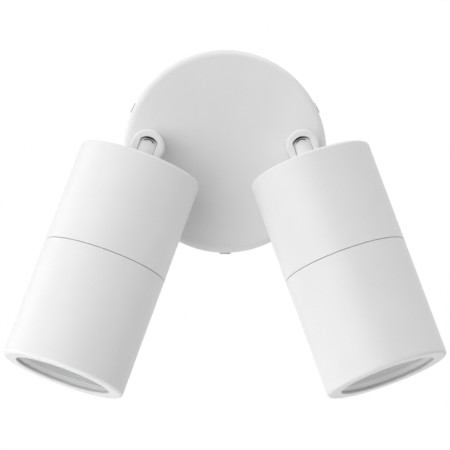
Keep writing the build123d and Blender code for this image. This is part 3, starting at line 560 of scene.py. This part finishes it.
def off_axis(outline):
    """The outline of a solid shape without its first and last corner, which lie on the axis."""
    corner = ARC_STEPS + 1
    return tuple(part[corner:-corner] for part in outline)


PIN_R, PIN_NECK_R, PIN_Y, PIN_LOW, PIN_HEAD_TOP, PIN_SUNK = 2.4, 1.6, 5.0, 57.1, 59.1, 0.5
pin_outline = rounded_outline([
    (0, PIN_LOW, 0.01),
    (PIN_R, PIN_LOW, 0.4),
    (PIN_R, PIN_HEAD_TOP, 0.3),
    (PIN_NECK_R, PIN_HEAD_TOP, 0.1),
    (PIN_NECK_R, LAMP_BASE + PIN_SUNK, 0.1),
    (0, LAMP_BASE + PIN_SUNK, 0.01),
])
pin = spun(off_axis(pin_outline), SMALL_AROUND, solid=True)
pins = joined(moved(pin, y=-PIN_Y), moved(pin, y=PIN_Y))
lamp = ribbed_lamp()
lamp_plastic = Finish("lamp_thermoplastic")
mould = lamp_plastic.noise(size=0.006, detail=3.0, stretch=(1.0, 1.0, 2.0))
satin = lamp_plastic.noise(size=0.0002)
lamp_plastic.set(base_color=lamp_plastic.colour(mould, low=(0.7, 0.7, 0.69), high=(0.78, 0.78, 0.77)))
lamp_plastic.set(roughness=0.38 + satin * 0.2)
lamp_plastic.relief(satin, depth=0.00002)
for side in SIDES:
    node = f"{side}_lamp_body"
    head_piece(f"{side}_lamp", side, "head", lamp, lamp_plastic, "lamp_plastic", node)
    head_piece(f"{side}_lamp_pins", side, "head", pins, brass, "brass", node)


# Lamp lens: smoky, finely grained plastic over the light sources, with seven shallow domes inside a plain
# border. It is moulded in one piece and set into the rim of the lamp.
LENS_R, LENS_EDGE = 23.6, 0.2
DOME_R, DOME_HEIGHT, DOME_POWER, DOME_PITCH = 6.4, 0.34, 0.8, 14.2


def lens_face(around=144, rings=72, edge_rows=5):
    """A disc whose upper face is z = seat + border + the domes, over a polar grid.

    The seven domes stand at the middle and at six places round it. Each adds its height times
    (1 - (distance / its radius) squared) to the domes' power inside its radius. The edge of the disc is a
    quarter arc, and the lower face is flat.
    """
    angle = np.linspace(0, 2 * np.pi, around, endpoint=False)[:, None]
    quarter = np.linspace(0, np.pi / 2, edge_rows)
    border = LAMP_FRONT - DOME_HEIGHT - LENS_SEAT
    inner = np.linspace(LENS_R - LENS_EDGE, 0, rings, endpoint=False)[1:]
    radius = np.concatenate([[LENS_R], LENS_R - LENS_EDGE + LENS_EDGE * np.cos(quarter), inner])
    edge = border - min(border, LENS_EDGE) * (1 - np.sin(quarter))
    height = np.concatenate([[0], edge, np.full(len(inner), border)])
    x, y = radius * np.cos(angle), radius * np.sin(angle)
    sixth = np.arange(6) * np.pi / 3
    spots = DOME_PITCH * np.vstack([[0, 0], np.column_stack([np.cos(sixth), np.sin(sixth)])])
    away = np.hypot(x[..., None] - spots[:, 0], y[..., None] - spots[:, 1]) / DOME_R
    dome = DOME_HEIGHT * ((1 - away**2).clip(0) ** DOME_POWER).sum(-1)
    z = LENS_SEAT + height + dome
    vertex = np.vstack([np.stack([x, y, z], -1).reshape(-1, 3), [[0, 0, LENS_SEAT], [0, 0, LAMP_FRONT]]])
    return vertex, None, grid_faces(around, len(radius), True)


domed_lens = lens_face()
lamp_lens = Finish("lamp_lens_plastic")
veil = lamp_lens.noise(size=0.002)
lamp_lens.set(base_color=lamp_lens.colour(veil, low=(0.1, 0.102, 0.102), high=(0.15, 0.15, 0.148)))
lamp_lens.set(roughness=0.3 + veil * 0.12, specular_ior_level=0.25)
lamp_lens.relief(lamp_lens.noise(size=0.0007, detail=1.0), depth=0.00002)
for side in SIDES:
    head_piece(f"{side}_lens", side, "head", domed_lens, lamp_lens, "lamp_lens", f"{side}_lamp_lens")


# Front shells: aluminium tubes that slide over the rear shell's spigot, with a narrow, thin lip turned in at
# the front. The groove near the lip takes the spring ring that holds the glass.
FRONT_START, FRONT_END = 60.6, 119.8
SKIRT_BORE, SKIRT_END = 28.2, 68.3
APERTURE_R, LIP_IN = 23.5, 119.3
CLIP_GROOVE_R, CLIP_GROOVE_LOW, GLASS_IN, GLASS_OUT = 28.35, 113.85, 115.1, 118.8

front_outline = rounded_outline([
    (SKIRT_BORE, FRONT_START, 0.15),
    (SHELL_R, FRONT_START, 0.15),
    (SHELL_R, FRONT_END, 1.7),
    (APERTURE_R, FRONT_END, 0.25),
    (APERTURE_R, LIP_IN, 0.1),
    (SHELL_BORE, LIP_IN, 0.4),
    (SHELL_BORE, GLASS_IN, 0.1),
    (CLIP_GROOVE_R, GLASS_IN, 0.1),
    (CLIP_GROOVE_R, CLIP_GROOVE_LOW, 0.1),
    (SHELL_BORE, CLIP_GROOVE_LOW, 0.1),
    (SHELL_BORE, SKIRT_END, 0.2),
    (SKIRT_BORE, SKIRT_END, 0.2),
])
tube = spun(front_outline)
for side in SIDES:
    head_piece(f"{side}_tube", side, "front", tube, head_paint, "white_paint", f"{side}_front_shell")
    dress(spring_steel, f"{side}_glass_clip")


# Front glasses: round panes of toughened glass with frosted, ground edges and a slight haze, each pressed
# against a thin gasket of pale silicone behind the lip.
GLASS_R, GLASS_EDGE = 27.15, 0.4

glass_outline = rounded_outline([
    (0, GLASS_IN, 0.01),
    (GLASS_R, GLASS_IN, GLASS_EDGE),
    (GLASS_R, GLASS_OUT, GLASS_EDGE),
    (0, GLASS_OUT, 0.01),
])
gasket_outline = rounded_outline([
    (APERTURE_R, GLASS_OUT, 0.1),
    (GLASS_R, GLASS_OUT, 0.1),
    (GLASS_R, LIP_IN, 0.1),
    (APERTURE_R, LIP_IN, 0.2),
])
pane, pane_gasket = spun(off_axis(glass_outline), solid=True), spun(gasket_outline)
rim = np.hypot(pane[0][:, 0], pane[0][:, 1]) > GLASS_R - GLASS_EDGE / 2
silicone = Finish("pale_silicone")
cloudy = silicone.noise(size=0.003, detail=3.0)
silicone.set(base_color=silicone.colour(cloudy, low=(0.72, 0.72, 0.72), high=(0.78, 0.78, 0.77)))
silicone.set(roughness=0.45 + cloudy * 0.15)
silicone.relief(silicone.noise(size=0.0003), depth=0.00002)

# The glass is see-through but for its haze, which scatters, and its reflection, which a thin coat weakens
# and which grows towards a glancing view. Metallic is the reflection's share of what isn't see-through.
HAZE = 0.04
REFLECTED, REFLECTED_MORE, GLANCE_POWER = 0.03, 0.75, 5.0
clear_glass = Finish("clear_glass")
film = clear_glass.noise(size=0.008, detail=3.0)
ground = clear_glass.node("ShaderNodeAttribute", {"attribute_name": "ground"}, take="Fac")
polished = 1.0 - ground
glance = clear_glass.node("ShaderNodeLayerWeight", sockets={"Blend": 0.5}, take="Facing")
mirror = (REFLECTED + REFLECTED_MORE * glance**GLANCE_POWER) * (1.0 - HAZE)
solid = mirror + HAZE
clear_glass.set(base_color=clear_glass.colour(film, low=(0.93, 0.95, 0.94), high=(0.97, 0.98, 0.97)))
clear_glass.set(metallic=mirror * solid**-1.0 * polished, alpha=solid * polished + ground)
clear_glass.set(roughness=0.03 + film * 0.05 + ground * 0.5)
for side in SIDES:
    node = f"{side}_front_glass"
    glass = head_piece(f"{side}_pane", side, "front", pane, clear_glass, "front_glass", node)
    glass.data.attributes.new("ground", "FLOAT", "POINT").data.foreach_set("value", rim.astype(np.float32))
    node = f"{side}_glass_gasket"
    head_piece(f"{side}_pane_gasket", side, "front", pane_gasket, silicone, "pale_silicone", node)


# Floor: a plain pale surface under the light, with the object's soft shadow on it. To the camera, and in
# glass and metal, it looks white, as the world round it does.
def seen_directly(tree):
    """1 for a ray from the camera, off a glossy surface or through glass, and 0 for one that lights."""
    camera_ray, glossy_ray, clear_ray = [
        add_node(tree, "ShaderNodeLightPath", take=f"Is {kind} Ray")
        for kind in ("Camera", "Glossy", "Transmission")
    ]
    return camera_ray.maximum(glossy_ray.maximum(clear_ray))


BLACK, WHITE = (0.0, 0.0, 0.0), (1.0, 1.0, 1.0)
FLOOR_Z, FLOOR_HALF, FLOOR_GLOW = -0.62, 1.6, 0.5
corners = np.array([(-1, -1), (1, -1), (1, 1), (-1, 1)]) * FLOOR_HALF
floor_mesh = bpy.data.meshes.new("floor")
floor_mesh.from_pydata([(x, y, FLOOR_Z) for x, y in corners.tolist()], [], [(0, 1, 2, 3)])
floor = add_object("floor", floor_mesh)
floor_finish = Finish("pale_floor")
dust = floor_finish.noise(size=0.05, detail=3.0)
floor_finish.set(base_color=floor_finish.colour(dust, low=(0.6, 0.6, 0.6), high=(0.62, 0.62, 0.62)))
glow = floor_finish.colour(seen_directly(floor_finish.tree), BLACK, WHITE)
floor_finish.set(roughness=0.9, emission_color=glow, emission_strength=FLOOR_GLOW)
floor_mesh.materials.append(floor_finish.material)


# World: a dim, even light from all round, which fills the shadows. To the camera, and in glass and metal, it
# looks white.
AMBIENT = (0.26, 0.26, 0.26)
world = bpy.data.worlds.new("studio")
bpy.context.scene.world = world
world.use_nodes = True
sky = mix_colours(world.node_tree, seen_directly(world.node_tree), AMBIENT, WHITE)
feed(world.node_tree, world.node_tree.nodes["Background"].inputs["Color"], sky)


# Studio light: wide soft boxes round the object, strongest from the left and from above, and two small ones
# low down that lift the undersides.
LIGHT_AIM = Vector((0.0, -0.05, -0.005))


def soft_box(name, azimuth, elevation, power, distance=2.2, size=1.2):
    """A square area light aimed at the object, in watts and metres.

    Azimuth 0 is the camera's side, and a positive one is to its right. Both angles are in degrees.
    """
    around, up = math.radians(azimuth), math.radians(elevation)
    out = Vector((math.sin(around) * math.cos(up), -math.cos(around) * math.cos(up), math.sin(up)))
    lamp = bpy.data.lights.new(name, "AREA")
    lamp.size, lamp.energy = size, power
    box = add_object(name, lamp)
    box.location = LIGHT_AIM + out * distance
    box.rotation_euler = (-out).to_track_quat("-Z", "Y").to_euler()


soft_box("front", azimuth=-20, elevation=5, power=9.9)
soft_box("key", azimuth=-50, elevation=35, power=6.5)
soft_box("key_level", azimuth=-50, elevation=5, power=7.9)
soft_box("left_rim", azimuth=-110, elevation=5, power=7.8)
soft_box("left_rim_high", azimuth=-110, elevation=35, power=4.7)
soft_box("right_rim", azimuth=100, elevation=5, power=3.3)
soft_box("top_left", azimuth=-90, elevation=70, power=7.2)
soft_box("top_right", azimuth=90, elevation=70, power=16.5)
soft_box("low_right", azimuth=60, elevation=-22, power=1.5, distance=1.1, size=0.5)
soft_box("low_left", azimuth=-60, elevation=-50, power=1.2, distance=0.7, size=0.3)


# Camera: far in front of the object with a long lens, held level, and a little below the middle of the
# backplate.
SENSOR_WIDTH, FOCAL_LENGTH = 36.0, 284.3
CAMERA_PLACE = (0.0, -1.771, -0.0363)
camera = add_object("camera", bpy.data.cameras.new("camera"))
camera.data.sensor_width = SENSOR_WIDTH
camera.data.lens = FOCAL_LENGTH
camera.location = CAMERA_PLACE
camera.rotation_euler = (math.pi / 2, 0.0, 0.0)
bpy.context.scene.camera = camera
bpy.context.scene.view_settings.view_transform = "Standard"
